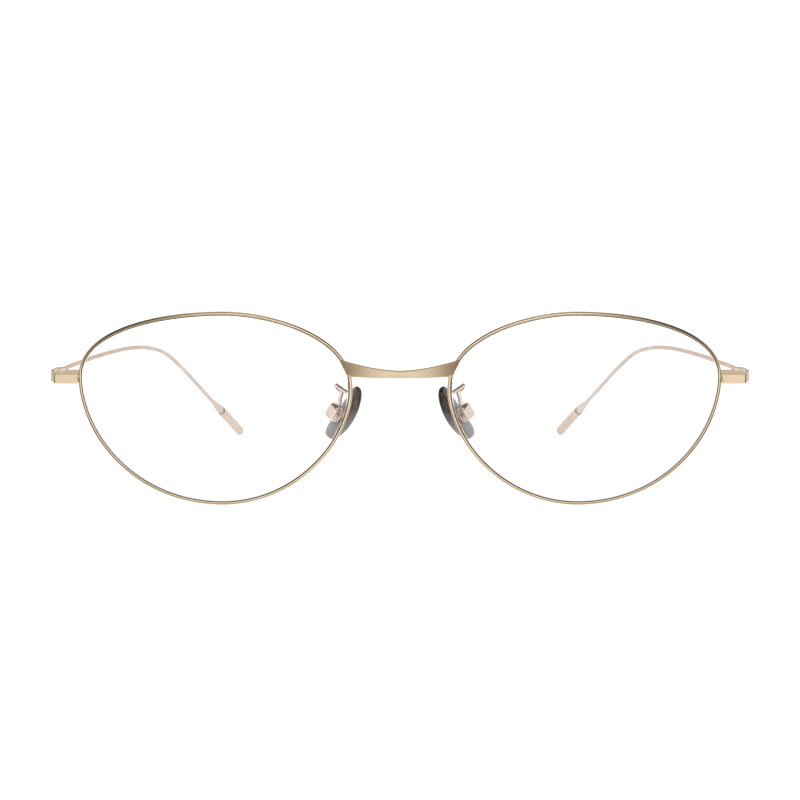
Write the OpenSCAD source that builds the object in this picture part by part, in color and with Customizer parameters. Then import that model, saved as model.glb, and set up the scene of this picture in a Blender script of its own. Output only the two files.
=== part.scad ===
// Metal eyeglasses with oval full rims, a sheet bridge, adjustable nose pads and wire temples.
// X runs to the wearer's left, Y runs back towards the ears and Z runs up. The frame stands
// open on its rims and its temple tips, with the middle of its footprint at the origin.
// "Left" and "right" are the wearer's own.

/* [Front] */
// Distance between the two lens centres
lens_spacing = 72; // [70:0.5:76]
// Height of the lens centres above the table
lens_height = 19.06; // [18:0.01:21]
// Radius of the sphere that the lenses and rims follow
base_radius = 132; // [110:1:200]
// Turn of each lens plane back towards its temple, in degrees
face_wrap = 4; // [0:0.5:6]
// Forward lean of the top of the front, in degrees
front_tilt = 4; // [0:0.5:5]

/* [Rim wire] */
// Depth of the rim wire from front to back
rim_depth = 1.24; // [1:0.02:1.6]
// Thickness of the rim wire from its outer edge to the lens
rim_thickness = 0.76; // [0.66:0.02:1]
// Gap between the two ends of the rim wire, closed up by the rim lock
rim_split = 0.12; // [0.05:0.01:0.3]

/* [Lens] */
// Thickness of the lens
lens_thickness = 1.4; // [1:0.1:2]

/* [Bridge] */
// Height of the bridge sheet at the middle
bridge_height = 1.5; // [1.2:0.05:2.5]
// Thickness of the bridge sheet
bridge_thickness = 0.85; // [0.7:0.05:1.2]
// Forward bow of the bridge sheet at the middle
bridge_bow = 0.9; // [0.3:0.1:2]

/* [Hinges] */
// Diameter of the hinge knuckles
knuckle_d = 2; // [1.8:0.1:2.2]
// Diameter of the hinge screw's shank
hinge_screw_d = 1.1; // [0.9:0.05:1.2]
// Radial clearance of a turning joint
running_gap = 0.05; // [0.02:0.01:0.1]

/* [Temples] */
// Distance from the hinge axis back to the start of the ear bend
temple_straight = 75; // [70:1:85]
// Diameter of the temple wire
wire_d = 0.9; // [0.8:0.05:1.2]
// Length of the temple tip
tip_length = 12.4; // [9:0.1:14]

/* [Nose pads] */
// Distance between the middles of the two nose pads
pad_spacing = 21.2; // [20:0.1:23]
// Length of a nose pad
pad_length = 11.6; // [11:0.1:14]
// Width of a nose pad
pad_width = 6.5; // [6:0.1:7.5]
// Lean of the pads towards each other at the top, in degrees
pad_lean = 32; // [20:1:35]
// Turn of the pads away from each other at the back, in degrees
pad_splay = 30; // [18:1:36]

/* [Hidden] */

RIGHT = -1;
LEFT = 1;

// Smoothness of the small round parts and of the large curves
round_fn = 96;
large_fn = 360;

// Colours
gold = "#DCC08A";
satin_gold = "#C9AE80";
champagne = "#E4CDB8";
steel = "#CFC6BA";
clear_glass = [0.85, 0.9, 0.95, 0.35];
smoke = "#7F8184";

// Width of the driver slot in every screw head
driver_slot = 0.25;

// Distance of the lens plane from the middle of the footprint
front_y = -69;
lens_x = lens_spacing / 2;
// The front leans about a line at this height, where the temples meet it
tilt_height = 24.85;

// ---------------------------------------------------------------------------------------
// The rim outline, seen from the front, as four curves between its outermost points.
// Each point is [outwards towards the temple, up] from the lens centre, and each handle
// is the reach of a curve along the level or upright tangent at that point.
rim_temple = [26.9, 5.8];
rim_top = [-2, 18.6];
rim_nasal = [-26.3, 4.1];
rim_bottom = [-0.9, -18.8];
reach_temple_up = 8.7;
reach_temple_down = 11.1;
reach_top_out = 13.7;
reach_top_in = 8.9;
reach_nasal_up = 10.1;
reach_nasal_down = 10.8;
reach_bottom_in = 14.3;
reach_bottom_out = 17.5;
rim_curves = [
    [rim_temple, rim_temple + [0, reach_temple_up], rim_top + [reach_top_out, 0], rim_top],
    [rim_top, rim_top - [reach_top_in, 0], rim_nasal + [0, reach_nasal_up], rim_nasal],
    [rim_nasal, rim_nasal - [0, reach_nasal_down], rim_bottom - [reach_bottom_in, 0], rim_bottom],
    [rim_bottom, rim_bottom + [reach_bottom_out, 0], rim_temple - [0, reach_temple_down], rim_temple],
];
steps_per_curve = 24;
rim_steps = len(rim_curves) * steps_per_curve;

function bezier(p, t) =
    p[0] * pow(1 - t, 3) + p[1] * 3 * t * pow(1 - t, 2) + p[2] * 3 * t * t * (1 - t) + p[3] * pow(t, 3);
function bezier_slope(p, t) =
    (p[1] - p[0]) * 3 * pow(1 - t, 2) + (p[2] - p[1]) * 6 * t * (1 - t) + (p[3] - p[2]) * 3 * t * t;
function unit(v) = v / norm(v);

// Along the outline u runs from 0 to 4: temple side, over the top, nose side, underneath and back.
function curve_at(u) = min(floor(u), len(rim_curves) - 1);
function outline(u) = bezier(rim_curves[curve_at(u)], u - curve_at(u));
function outline_slope(u) = bezier_slope(rim_curves[curve_at(u)], u - curve_at(u));
function outline_outward(u) =
    let (d = unit(outline_slope(u)))
    [d[1], -d[0]];
// The outline grown by a distance
function grown(u, by) = outline(u) + outline_outward(u) * by;

// ---------------------------------------------------------------------------------------
// From the flat outline onto the sphere, and from the lens's own frame into the front's
function sphere_drop(p) = base_radius - sqrt(base_radius * base_radius - p * p);
function on_sphere(p) = [p[0], sphere_drop(p), p[1]];
function turn_z(v, a) = [v[0] * cos(a) - v[1] * sin(a), v[0] * sin(a) + v[1] * cos(a), v[2]];
function turn_x(v, a) = [v[0], v[1] * cos(a) - v[2] * sin(a), v[1] * sin(a) + v[2] * cos(a)];
function turn_y(v, a) = [v[0] * cos(a) + v[2] * sin(a), v[1], v[2] * cos(a) - v[0] * sin(a)];
function lens_to_front(v) =
    let (w = turn_z(v, face_wrap) + [lens_x, 0, lens_height - tilt_height])
    turn_x(w, front_tilt) + [0, 0, tilt_height];

// ---------------------------------------------------------------------------------------
// Smooth curve through a list of points, with the slope at each from its two neighbours
function gap(p, i) = norm(p[i + 1] - p[i]);
function slope_at(p, i) =
    i == 0 ? unit(p[1] - p[0]) :
    i == len(p) - 1 ? unit(p[i] - p[i - 1]) :
    (p[i + 1] - p[i - 1]) / (gap(p, i) + gap(p, i - 1));
function span_point(p, i, t) =
    p[i] * (1 + 2 * t) * pow(1 - t, 2) + slope_at(p, i) * gap(p, i) * t * pow(1 - t, 2)
    + p[i + 1] * t * t * (3 - 2 * t) - slope_at(p, i + 1) * gap(p, i) * t * t * (1 - t);
function smooth_path(p, steps) = [
    for (i = [0 : len(p) - 2])
        for (k = [0 : steps - 1])
            span_point(p, i, k / steps),
    p[len(p) - 1],
];
function directions(path) = [
    for (i = [0 : len(path) - 1])
        unit(path[min(i + 1, len(path) - 1)] - path[max(i - 1, 0)]),
];

// A solid through a row of rings with equal point counts, each right-handed about the way the
// row runs. caps lists the convex pieces of an end.
module skin(rings, caps) {
    n = len(rings[0]);
    last = (len(rings) - 1) * n;
    sides = [
        for (i = [0 : len(rings) - 2])
            for (j = [0 : n - 1])
                let (a = i * n + j, b = i * n + (j + 1) % n)
                each [[a, b + n, b], [a, a + n, b + n]],
    ];
    end_caps = [for (c = caps) [for (k = [len(c) - 1 : -1 : 0]) last + c[k]]];
    polyhedron(points = [for (r = rings) each r], faces = concat(sides, caps, end_caps));
}

module round_bar(path, radius, sides, first_side) {
    t = directions(path);
    // The side direction is carried along the path without twisting.
    s = [
        for (i = 0, v = first_side; i < len(path); i = i + 1, v = i < len(path) ? v - t[i] * (v * t[i]) : v)
            unit(v - t[i] * (v * t[i])),
    ];
    rings = [
        for (i = [0 : len(path) - 1])
            [for (k = [0 : sides - 1])
                let (a = 360 * k / sides)
                path[i] + s[i] * radius * cos(a) + cross(t[i], s[i]) * radius * sin(a)],
    ];
    skin(rings, [[for (k = [0 : sides - 1]) k]]);
}

// Flat rounded rectangle, centred, with true round corners
module rounded_plate(w, h, r) {
    square([w - 2 * r, h], center = true);
    square([w, h - 2 * r], center = true);
    for (x = [-1, 1], y = [-1, 1])
        translate([x * (w / 2 - r), y * (h / 2 - r)]) circle(r = r, $fn = round_fn);
}

module place(side) {
    translate([0, front_y, 0])
        if (side == LEFT) children();
        else mirror([1, 0, 0]) children();
}

module lean_forward() {
    translate([0, 0, tilt_height]) rotate([front_tilt, 0, 0]) translate([0, 0, -tilt_height]) children();
}

module lens_frame() {
    lean_forward() translate([lens_x, 0, lens_height]) rotate([0, 0, face_wrap]) children();
}

// ---------------------------------------------------------------------------------------
// Rim wire: [outwards, backwards] around its section, with a groove for the lens inside
groove_depth = 0.34;
groove_half = 0.27;
groove_floor_half = 0.2;
rim_out = rim_thickness / 2;
rim_back = rim_depth / 2;
rim_bevel = 0.22;
rim_inner_bevel = 0.18;
rim_section = [
    [-rim_out, -rim_back + rim_inner_bevel],
    [-rim_out + rim_inner_bevel, -rim_back],
    [rim_out - rim_bevel, -rim_back],
    [rim_out, -rim_back + rim_bevel],
    [rim_out, rim_back - rim_bevel],
    [rim_out - rim_bevel, rim_back],
    [-rim_out, rim_back],
    [-rim_out, groove_half],
    [groove_depth - rim_out, groove_floor_half],
    [groove_depth - rim_out, -groove_floor_half],
    [-rim_out, -groove_half],
];
rim_section_caps = [[0, 1, 2, 9, 10], [2, 3, 4, 5, 8, 9], [5, 6, 7, 8]];

function rim_ring(u) =
    let (centre = on_sphere(outline(u)), out = outline_outward(u))
    [for (q = rim_section) centre + [out[0] * q[0], q[1], out[1] * q[0]]];

module rim(side) {
    end_up = rim_split / 2 / (3 * reach_temple_up);
    end_down = rim_split / 2 / (3 * reach_temple_down);
    stations = [
        end_up,
        for (i = [1 : rim_steps - 1]) 4 * i / rim_steps,
        4 - end_down,
    ];
    color(gold) place(side) lens_frame() skin([for (u = stations) rim_ring(u)], rim_section_caps);
}

// Lens: a slice of a spherical shell, with a tongue around its edge that sits in the groove
lens_edge_gap = 0.03;
tongue_half = 0.15;
tongue_reach = 0.24;

module lens_slice(by, thickness) {
    intersection() {
        rotate([90, 0, 0])
            linear_extrude(height = 20, center = true)
                polygon([for (i = [0 : rim_steps - 1]) grown(4 * i / rim_steps, by)]);
        translate([0, base_radius, 0]) difference() {
            sphere(r = base_radius + thickness / 2, $fn = large_fn);
            sphere(r = base_radius - thickness / 2, $fn = large_fn);
        }
    }
}

module lens(side) {
    edge = -rim_out - lens_edge_gap;
    color(clear_glass) place(side) lens_frame() {
        lens_slice(edge, lens_thickness);
        lens_slice(edge + tongue_reach, 2 * tongue_half);
    }
}

// ---------------------------------------------------------------------------------------
// Bridge: a bowed sheet across the front of both rims, cut along their inner edges
bridge_top_u = 1.778;
bridge_low_u = 1.921;
bridge_mid_top = 26.7;
bridge_end_steps = 8;
bridge_edge_steps = 28;
bridge_rise_power = 1.7;
bridge_front = -1.55;

function bridge_end(u) =
    let (v = lens_to_front(on_sphere(grown(u, -rim_out))))
    [v[0], v[2]];

module bridge() {
    end_top = bridge_end(bridge_top_u);
    end_low = bridge_end(bridge_low_u);
    mid_low = bridge_mid_top - bridge_height;
    upper_edge = [
        for (i = [0 : bridge_edge_steps])
            let (k = 1 - 2 * i / bridge_edge_steps)
            [k * end_top[0],
             bridge_mid_top + (end_top[1] - bridge_mid_top) * pow(abs(k), bridge_rise_power)],
    ];
    left_end = [
        for (i = [bridge_end_steps : -1 : 1])
            bridge_end(bridge_top_u + (bridge_low_u - bridge_top_u) * i / bridge_end_steps),
    ];
    lower_edge = [
        for (i = [1 : bridge_edge_steps - 1])
            let (k = -1 + 2 * i / bridge_edge_steps)
            [k * end_low[0], mid_low + (end_low[1] - mid_low) * k * k],
    ];
    right_end = [for (i = [len(left_end) - 1 : -1 : 0]) [-left_end[i][0], left_end[i][1]]];
    half_chord = end_low[0];
    bow_radius = (half_chord * half_chord + bridge_bow * bridge_bow) / (2 * bridge_bow);
    color(satin_gold) translate([0, front_y, 0]) intersection() {
        rotate([90, 0, 0])
            linear_extrude(height = 12, center = true)
                polygon(concat(left_end, upper_edge, right_end, lower_edge));
        translate([0, bridge_front + bow_radius, bridge_mid_top]) difference() {
            cylinder(r = bow_radius, h = 12, center = true, $fn = large_fn);
            cylinder(r = bow_radius - bridge_thickness, h = 13, center = true, $fn = large_fn);
        }
    }
}

// ---------------------------------------------------------------------------------------
// End piece, rim lock and hinge. The hinge axis is upright.
rim_temple_side = lens_to_front(on_sphere(grown(0, rim_out)));
end_inner_x = rim_temple_side[0] - 0.1;
end_length = 5.15;
end_outer_x = end_inner_x + end_length;
end_front = 4.05;
end_leg = 1.2;
end_back = 7.9;
end_low = 23.75;
end_high = 26.2;
end_corner_r = 0.5;
end_bevel = 0.55;
split_height = rim_temple_side[2];
free_end_gap = 0.25;

module end_piece(side) {
    color(gold) place(side) difference() {
        translate([0, 0, end_low]) linear_extrude(height = end_high - end_low) {
            translate([end_inner_x, end_front]) square([end_length - end_corner_r, end_leg]);
            translate([end_outer_x - end_leg, end_front + end_corner_r])
                square([end_leg, end_back - end_front - end_corner_r]);
            translate([end_outer_x - end_corner_r, end_front + end_corner_r])
                circle(r = end_corner_r, $fn = round_fn);
        }
        // Bevel along the upper front edge
        translate([end_inner_x - 1, end_front, end_high])
            rotate([45, 0, 0])
                cube([end_length + 2, end_bevel, end_bevel]);
        translate([end_inner_x - 1, end_front, end_high])
            rotate([-45, 0, 0])
                translate([0, -end_bevel, 0])
                    cube([end_length + 2, end_bevel, end_bevel]);
        // The lower rim end stays free, so that the rim can open for the lens.
        translate([end_inner_x - 1, end_front - 1, end_low - 1])
            cube([1 + free_end_gap, end_leg + 2, split_height - end_low + 1]);
    }
}

lock_x = end_inner_x + 1.35;
lock_width = 2.3;
lock_y = end_front + end_leg + lock_width / 2;
lock_half_gap = 0.05;
lock_height = 1.1;
lock_screw_d = 1;
lock_head_d = 1.6;
lock_head_h = 0.4;
lock_shank_reach = 0.9;

// A block with a rounded back, its flat front against the end piece
module lock_block(height) {
    linear_extrude(height = height) {
        translate([lock_x - lock_width / 2, end_front + end_leg])
            square([lock_width, lock_y - end_front - end_leg]);
        translate([lock_x, lock_y]) circle(d = lock_width, $fn = round_fn);
    }
}

module rim_lock_upper(side) {
    color(gold) place(side) difference() {
        translate([0, 0, split_height + lock_half_gap]) lock_block(lock_height);
        translate([lock_x, lock_y, split_height - 1])
            cylinder(d = lock_screw_d, h = 1 + lock_half_gap + lock_shank_reach, $fn = round_fn);
    }
}

module rim_lock_lower(side) {
    low = split_height - lock_half_gap - lock_height;
    color(gold) place(side) difference() {
        translate([0, 0, low]) lock_block(lock_height);
        translate([lock_x, lock_y, low - 1])
            cylinder(d = lock_screw_d + 2 * running_gap, h = lock_height + 2, $fn = round_fn);
        translate([lock_x, lock_y, low - 1])
            cylinder(d = lock_head_d + 2 * running_gap, h = 1 + lock_head_h, $fn = round_fn);
    }
}

module rim_lock_screw(side) {
    low = split_height - lock_half_gap - lock_height;
    shank = lock_height + 2 * lock_half_gap + lock_shank_reach - 0.02;
    color(steel) place(side) translate([lock_x, lock_y, low]) difference() {
        union() {
            cylinder(d = lock_head_d, h = lock_head_h, $fn = round_fn);
            cylinder(d = lock_screw_d, h = shank, $fn = round_fn);
        }
        cube([2 * lock_head_d, driver_slot, lock_head_h], center = true);
    }
}

hinge_x = end_outer_x - 1.2;
hinge_y = 9.05;
knuckle_r = knuckle_d / 2;
hinge_low = 23.78;
outer_knuckle = 0.8;
middle_knuckle = 1.05;
knuckle_gap = 0.05;
middle_low = hinge_low + outer_knuckle + knuckle_gap;
upper_low = middle_low + middle_knuckle + knuckle_gap;
hinge_high = upper_low + outer_knuckle;
leaf_back = 7.75;
leaf_width = 1.45;
// How far the web of a knuckle and its leaf sink into each other
leaf_overlap = 0.05;
hinge_head_d = 1.6;
hinge_head_h = 0.3;

module knuckle(low, height) {
    translate([hinge_x, hinge_y, low]) cylinder(r = knuckle_r, h = height, $fn = round_fn);
}

module hinge_front_leaf(side) {
    leaf_x = end_outer_x - end_leg - leaf_width;
    color(champagne) place(side) difference() {
        union() {
            translate([leaf_x, end_front + end_leg, hinge_low])
                cube([leaf_width, leaf_back - end_front - end_leg, hinge_high - hinge_low]);
            for (low = [hinge_low, upper_low]) {
                knuckle(low, outer_knuckle);
                translate([hinge_x - knuckle_r, leaf_back - leaf_overlap, low])
                    cube([knuckle_r, hinge_y - leaf_back + leaf_overlap, outer_knuckle]);
            }
        }
        translate([hinge_x, hinge_y, hinge_low - 1])
            cylinder(d = hinge_screw_d, h = hinge_high - hinge_low + 2, $fn = round_fn);
        translate([hinge_x, hinge_y, hinge_high - hinge_head_h])
            cylinder(d = hinge_head_d + 2 * running_gap, h = 1, $fn = round_fn);
    }
}

arm_front_x = hinge_x + knuckle_r + 0.6;
arm_half_thickness = 0.52;
leaf_plate = 0.55;
leaf_plate_length = 3.4;
leaf_plate_height = 1.5;
// The web from the middle knuckle to the arm, in front of and behind the hinge axis
leaf_web_front = 0.3;
leaf_web_back = 1.15;

module hinge_temple_leaf(side) {
    arm_inner = arm_front_x - arm_half_thickness;
    leaf_plate_low = middle_low + (middle_knuckle - leaf_plate_height) / 2;
    color(champagne) place(side) difference() {
        union() {
            knuckle(middle_low, middle_knuckle);
            translate([hinge_x, hinge_y - leaf_web_front, middle_low])
                cube([arm_inner - hinge_x, leaf_web_front + leaf_web_back, middle_knuckle]);
            translate([arm_inner - leaf_plate, hinge_y + leaf_web_back - leaf_overlap, leaf_plate_low])
                cube([leaf_plate, leaf_plate_length, leaf_plate_height]);
        }
        translate([hinge_x, hinge_y, middle_low - 1])
            cylinder(d = hinge_screw_d + 2 * running_gap, h = middle_knuckle + 2, $fn = round_fn);
    }
}

module hinge_screw(side) {
    color(steel) place(side) translate([hinge_x, hinge_y, 0]) difference() {
        union() {
            translate([0, 0, hinge_low])
                cylinder(d = hinge_screw_d, h = hinge_high - hinge_low - 0.1, $fn = round_fn);
            translate([0, 0, hinge_high - hinge_head_h])
                cylinder(d = hinge_head_d, h = hinge_head_h, $fn = round_fn);
        }
        translate([0, 0, hinge_high]) cube([2 * hinge_head_d, driver_slot, hinge_head_h], center = true);
    }
}

// ---------------------------------------------------------------------------------------
// Temple: points as [inwards from the front of the arm, back from the hinge axis, height].
// The ear part starts at temple_straight.
arm_points = [
    [0, -0.75, 25],
    [0, 3.5, 25.05],
    [0.5, 8, 25.45],
    [1.3, 14, 25.8],
    [2.2, 24, 25.9],
    [3.3, 41, 25.85],
    [5.2, 61, 25.7],
];
ear_points = [
    [7.5, 0, 25.5],
    [10.3, 10, 24.8],
    [13.1, 18, 23.1],
    [15.8, 26, 19.6],
    [18.8, 34, 15],
    [22.1, 42, 9.9],
    [25.4, 49, 5.2],
    [28.5, 55.4, 0.55],
];
straight_as_drawn = 75;
temple_route = [
    for (p = arm_points)
        [arm_front_x - p[0], hinge_y + p[1] * temple_straight / straight_as_drawn, p[2]],
    for (p = ear_points)
        [arm_front_x - p[0], hinge_y + temple_straight + p[1], p[2]],
];
temple_path = smooth_path(temple_route, 5);
temple_t = directions(temple_path);
function run_to(path, i) = i == 0 ? 0 : norm(path[i] - path[i - 1]) + run_to(path, i - 1);
temple_run = [for (i = [0 : len(temple_path) - 1]) run_to(temple_path, i)];
temple_total = temple_run[len(temple_run) - 1];
seam_run = temple_total - tip_length;

// Half sizes of the section, [across, up], at a distance along the temple
paddle_half = [0.95, 1.1];
function blend(a, b, x) =
    let (t = max(0, min(1, x)))
    a + (b - a) * t * t * (3 - 2 * t);
plate_half = [arm_half_thickness, 1.18];
plate_run = 4.5;
neck_run = 11;
flare_length = 6;
function temple_half(s) =
    s < neck_run ? blend(plate_half, [wire_d / 2, wire_d / 2], (s - plate_run) / (neck_run - plate_run)) :
    blend([wire_d / 2, wire_d / 2], paddle_half, (s - seam_run + flare_length) / (flare_length + 2));
// Corner sharpness of the section: 2 is an ellipse, more is squarer.
function temple_power(s) = blend(5, 2, (s - plate_run) / (neck_run - plate_run));
function rounded_section(half, power, sides) = [
    for (k = [0 : sides - 1])
        let (a = -360 * (k + 0.5) / sides, c = cos(a), s = sin(a))
        [half[0] * sign(c) * pow(abs(c), 2 / power), half[1] * sign(s) * pow(abs(s), 2 / power)],
];
temple_sides = 12;
function temple_ring(centre, t, half, power) =
    let (out = unit(cross(t, [0, 0, 1])), up = cross(out, t))
    [for (q = rounded_section(half, power, temple_sides)) centre + out * q[0] + up * q[1]];

// Point and direction at a distance along the temple
function run_index(s) = max([for (i = [0 : len(temple_run) - 2]) temple_run[i] <= s ? i : 0]);
function temple_at(list, s) =
    let (i = run_index(s), k = (s - temple_run[i]) / (temple_run[i + 1] - temple_run[i]))
    list[i] + (list[i + 1] - list[i]) * k;

module temple_arm(side) {
    seam_gap = 0.02;
    stop = seam_run - seam_gap;
    rings = [
        for (i = [0 : run_index(stop)])
            temple_ring(temple_path[i], temple_t[i],
                        temple_half(temple_run[i]), temple_power(temple_run[i])),
        temple_ring(temple_at(temple_path, stop), temple_at(temple_t, stop), temple_half(stop), 2),
    ];
    color(champagne) place(side) skin(rings, [[for (k = [0 : temple_sides - 1]) k]]);
}

module temple_tip(side) {
    steps = 20;
    round_end = 1;
    rings = [
        for (i = [0 : steps])
            let (
                s = seam_run + tip_length * (i == 0 ? 0 : sin(90 * i / steps)),
                left = temple_total - s,
                close = left > round_end ? 1 : sqrt(max(0.04, 1 - pow(1 - left / round_end, 2)))
            )
            temple_ring(temple_at(temple_path, min(s, temple_total - 0.001)),
                        temple_at(temple_t, min(s, temple_total - 0.001)), temple_half(s) * close, 2),
    ];
    color(champagne) place(side) skin(rings, [[for (k = [0 : temple_sides - 1]) k]]);
}

// ---------------------------------------------------------------------------------------
// Nose pads. In a pad's own frame X is away from the nose, Y is back and Z is up the pad.
pad_centre = [pad_spacing / 2, 8, 17.5];
pad_nose_half = 1.1;
pad_outer_half = 1;
pad_curl = 0.8;
pad_taper = 0.2;
// How round the pad's ends are: 1 is an ellipse, less is blunter.
pad_fullness = 0.7;
pad_rings = 16;
pad_sides = 16;
// The axis that the pad rocks on, seen along Y in the pad's frame
pad_axis_x = 2.35;
pad_axis_z = -0.85;

module pad_frame() {
    translate(pad_centre) rotate([0, -pad_lean, 0]) rotate([0, 0, -pad_splay]) children();
}
function pad_to_front(v) = turn_y(turn_z(v, -pad_splay), -pad_lean) + pad_centre;

function pad_ring(k) =
    let (
        a = -84 + 168 * k / pad_rings,
        up = sin(a) / sin(84),
        full = pow(cos(a), pad_fullness),
        wide = pad_width / 2 * full * (1 - pad_taper * up)
    )
    [for (j = [0 : pad_sides - 1])
        let (
            b = 360 * j / pad_sides,
            thick = cos(b) > 0 ? pad_outer_half : pad_nose_half
        )
        [thick * full * cos(b) + pad_curl * up * up, wide * sin(b), up * pad_length / 2]];

module nose_pad(side) {
    color(smoke) place(side) pad_frame()
        skin([for (k = [0 : pad_rings]) pad_ring(k)], [[for (k = [0 : pad_sides - 1]) k]]);
}

core_plate_x = 0.25;
core_plate_thickness = 0.5;
lug_r = 0.8;
lug_width = 1.84;
pad_screw_d = 0.9;

// The stiff core moulded into the pad, with the lug that the screw passes through
module pad_core(side) {
    color(steel) place(side) pad_frame() difference() {
        union() {
            translate([core_plate_x, 0, 0]) rotate([90, 0, 90])
                linear_extrude(height = core_plate_thickness) rounded_plate(3.2, 5, 1.5);
            rotate([90, 0, 0]) linear_extrude(height = lug_width, center = true) {
                translate([pad_axis_x, pad_axis_z]) circle(r = lug_r, $fn = round_fn);
                translate([core_plate_x, pad_axis_z - lug_r]) square([pad_axis_x - core_plate_x, 2 * lug_r]);
            }
        }
        translate([pad_axis_x, 0, pad_axis_z]) rotate([90, 0, 0])
            cylinder(d = pad_screw_d + 2 * running_gap, h = lug_width + 2, center = true, $fn = round_fn);
    }
}

box_near = 1.45;
box_far = 3.6;
box_wall = 0.35;
box_height = 3.3;
box_width = 3.2;
box_corner_r = 1.05;
box_slot = 2;
box_slot_height = 2.1;

module pad_box(side) {
    middle = (box_near + box_far) / 2;
    color(champagne) place(side) pad_frame() difference() {
        translate([middle, 0, pad_axis_z]) rotate([90, 0, 0])
            linear_extrude(height = box_width, center = true)
                rounded_plate(box_far - box_near, box_height, box_corner_r);
        translate([box_near - 1, -box_slot / 2, pad_axis_z - box_slot_height / 2])
            cube([box_far - box_near - box_wall + 1, box_slot, box_slot_height]);
        translate([pad_axis_x, 0, pad_axis_z]) rotate([90, 0, 0])
            cylinder(d = pad_screw_d, h = box_width + 2, center = true, $fn = round_fn);
    }
}

module pad_screw(side) {
    head_d = 1.5;
    head_h = 0.35;
    // The head is at the front, and the shank ends flush with the back of the box.
    color(steel) place(side) pad_frame()
    translate([pad_axis_x, box_width / 2, pad_axis_z]) rotate([90, 0, 0]) difference() {
        union() {
            cylinder(d = pad_screw_d, h = box_width, $fn = round_fn);
            translate([0, 0, box_width]) cylinder(d = head_d, h = head_h, $fn = round_fn);
        }
        translate([0, 0, box_width + head_h]) cube([driver_slot, 2 * head_d, head_h], center = true);
    }
}

pad_arm_u = 2.04;
// How far the wire leaves the rim outside the middle of its thickness, clear of the lens
pad_arm_out = 0.12;
pad_arm_r = 0.42;
pad_arm_points = [
    [10.75, 2.9, 22.4],
    [11.8, 4.4, 22.95],
    [12.55, 5.6, 23.35],
    [12.25, 6.55, 22.65],
    [11.55, 6.9, 21.85],
    [11.8, 7, 20.9],
];

module pad_arm(side) {
    // The wire is brazed to the back of the rim and to the roof of the box, and sinks a little into both.
    braze = 0.05;
    start = lens_to_front(on_sphere(grown(pad_arm_u, pad_arm_out)) + [0, rim_back - braze, 0]);
    finish = pad_to_front([2.5, 0, pad_axis_z + box_height / 2 - braze]);
    path = smooth_path([start, each pad_arm_points, finish], 5);
    color(champagne) place(side) round_bar(path, pad_arm_r, 8, [0, 0, 1]);
}

// ---------------------------------------------------------------------------------------
bridge();
rim(RIGHT);  // rim_right
rim(LEFT);  // rim_left
lens(RIGHT);  // lens_right
lens(LEFT);  // lens_left
end_piece(RIGHT);  // end_piece_right
end_piece(LEFT);  // end_piece_left
rim_lock_upper(RIGHT);  // rim_lock_upper_right
rim_lock_upper(LEFT);  // rim_lock_upper_left
rim_lock_lower(RIGHT);  // rim_lock_lower_right
rim_lock_lower(LEFT);  // rim_lock_lower_left
rim_lock_screw(RIGHT);  // rim_lock_screw_right
rim_lock_screw(LEFT);  // rim_lock_screw_left
hinge_front_leaf(RIGHT);  // hinge_front_leaf_right
hinge_front_leaf(LEFT);  // hinge_front_leaf_left
hinge_temple_leaf(RIGHT);  // hinge_temple_leaf_right
hinge_temple_leaf(LEFT);  // hinge_temple_leaf_left
hinge_screw(RIGHT);  // hinge_screw_right
hinge_screw(LEFT);  // hinge_screw_left
temple_arm(RIGHT);  // temple_arm_right
temple_arm(LEFT);  // temple_arm_left
temple_tip(RIGHT);  // temple_tip_right
temple_tip(LEFT);  // temple_tip_left
pad_arm(RIGHT);  // pad_arm_right
pad_arm(LEFT);  // pad_arm_left
pad_box(RIGHT);  // pad_box_right
pad_box(LEFT);  // pad_box_left
pad_screw(RIGHT);  // pad_screw_right
pad_screw(LEFT);  // pad_screw_left
pad_core(RIGHT);  // pad_core_right
pad_core(LEFT);  // pad_core_left
nose_pad(RIGHT);  // nose_pad_right
nose_pad(LEFT);  // nose_pad_left
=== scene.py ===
import math

import bmesh
import bpy
import numpy as np
from mathutils import Matrix, Vector


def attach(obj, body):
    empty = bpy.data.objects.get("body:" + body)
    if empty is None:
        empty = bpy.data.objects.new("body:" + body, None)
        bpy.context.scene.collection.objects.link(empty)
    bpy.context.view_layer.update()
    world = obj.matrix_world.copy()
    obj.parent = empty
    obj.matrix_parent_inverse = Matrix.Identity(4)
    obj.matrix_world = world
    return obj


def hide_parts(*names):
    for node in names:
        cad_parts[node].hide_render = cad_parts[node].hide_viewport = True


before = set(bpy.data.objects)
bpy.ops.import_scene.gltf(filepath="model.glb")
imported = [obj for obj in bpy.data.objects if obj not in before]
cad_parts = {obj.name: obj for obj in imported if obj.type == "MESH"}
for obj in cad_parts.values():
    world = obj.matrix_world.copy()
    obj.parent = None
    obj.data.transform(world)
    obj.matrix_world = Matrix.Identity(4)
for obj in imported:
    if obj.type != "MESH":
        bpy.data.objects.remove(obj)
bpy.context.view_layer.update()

# Everything is drawn in millimetres for the left side and turned into metres at the end.
MM = 0.001
SIDES = ("left", "right")

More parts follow.
